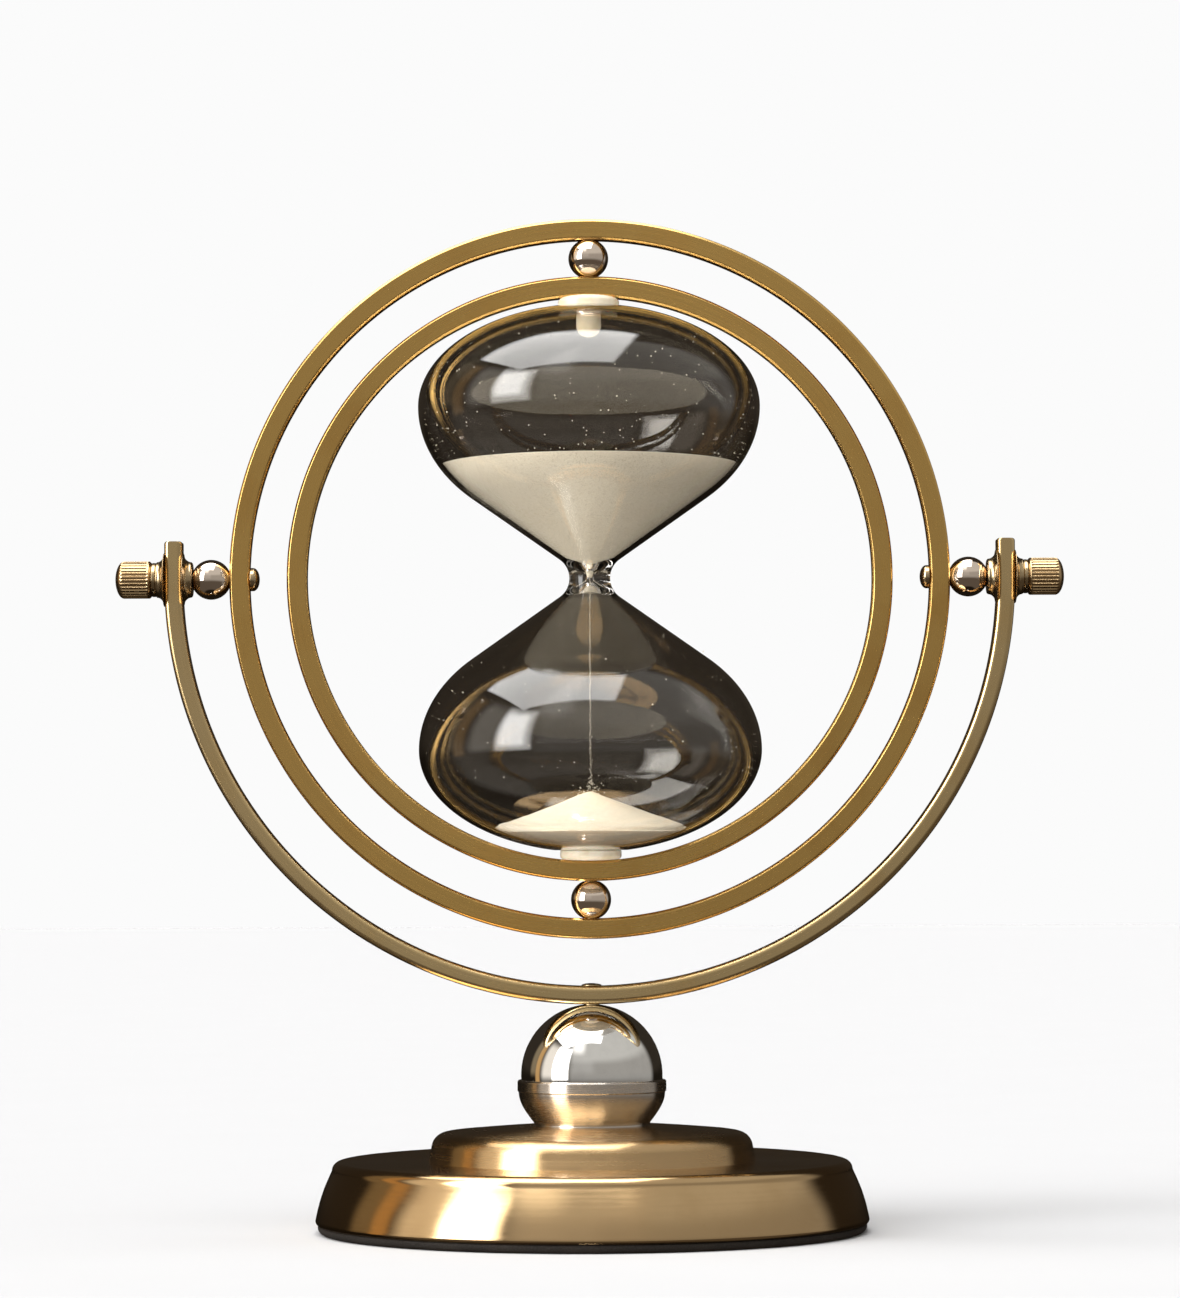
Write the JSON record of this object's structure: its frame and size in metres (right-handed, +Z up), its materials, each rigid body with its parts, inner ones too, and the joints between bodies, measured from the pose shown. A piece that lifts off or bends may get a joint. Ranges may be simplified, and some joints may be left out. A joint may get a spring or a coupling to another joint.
{
  "type": "gimballed hourglass",
  "caption": "Glass hourglass held in nested metal rings that turn inside a half-ring stand, on a polished ball, a turned cup and a stepped round base.",
  "frame": {"origin": "centre of the base's underside, on the table", "axes": "+Z up, +X along the horizontal tumble axis of the outer ring, -Y towards the front"},
  "size_m": [0.2372, 0.1374, 0.2524],
  "materials": {
    "dark_pad": "matte",
    "cast_iron": "matte",
    "brushed_brass": "satin",
    "satin_brass": "satin",
    "aged_brass": "satin",
    "champagne_metal": "polished",
    "polished_steel": "polished",
    "plain_steel": "satin",
    "cream_nylon": "satin",
    "smoke_glass": "gloss",
    "cream_sand": "matte"
  },
  "bodies": {
    "stand": {"base_pad": "dark_pad", "base_weight": "cast_iron", "base_shell": "brushed_brass", "base_step": "brushed_brass", "ball_cup": "brushed_brass", "support_ball": "polished_steel", "half_ring": "satin_brass", "left_inner_collar": "aged_brass", "left_outer_collar": "aged_brass", "right_inner_collar": "aged_brass", "right_outer_collar": "aged_brass", "left_washer": "aged_brass", "right_washer": "aged_brass", "tie_rod": "aged_brass", "tie_washer": "plain_steel", "tie_nut": "plain_steel"},
    "outer_frame": {"outer_ring": "satin_brass", "left_pivot_pin": "aged_brass", "right_pivot_pin": "aged_brass", "left_spacer_ball": "champagne_metal", "right_spacer_ball": "champagne_metal", "top_spacer_ball": "champagne_metal", "bottom_spacer_ball": "champagne_metal", "top_axle_pin": "aged_brass", "bottom_axle_pin": "aged_brass"},
    "inner_frame": {"inner_ring": "satin_brass", "top_cap": "cream_nylon", "bottom_cap": "cream_nylon", "glass_bulbs": "smoke_glass", "sand_upper": "cream_sand", "sand_stream": "cream_sand", "sand_lower": "cream_sand"},
    "left_nut": {"left_thumb_nut": "brushed_brass"},
    "right_nut": {"right_thumb_nut": "brushed_brass"}
  },
  "joints": [
    {"name": "ring_tumble", "type": "hinge", "parent": "stand", "child": "outer_frame", "pos_m": [0, 0, 0.16243], "axis": [1, 0, 0], "continuous": true},
    {"name": "glass_spin", "type": "hinge", "parent": "outer_frame", "child": "inner_frame", "pos_m": [0, 0, 0.16243], "axis": [0, 0, 1], "continuous": true},
    {"name": "left_nut_turn", "type": "hinge", "parent": "outer_frame", "child": "left_nut", "pos_m": [-0.113, 0, 0.16243], "axis": [-1, 0, 0], "range_deg": [0, 540]},
    {"name": "right_nut_turn", "type": "hinge", "parent": "outer_frame", "child": "right_nut", "pos_m": [0.113, 0, 0.16243], "axis": [1, 0, 0], "range_deg": [0, 540]}
  ]
}
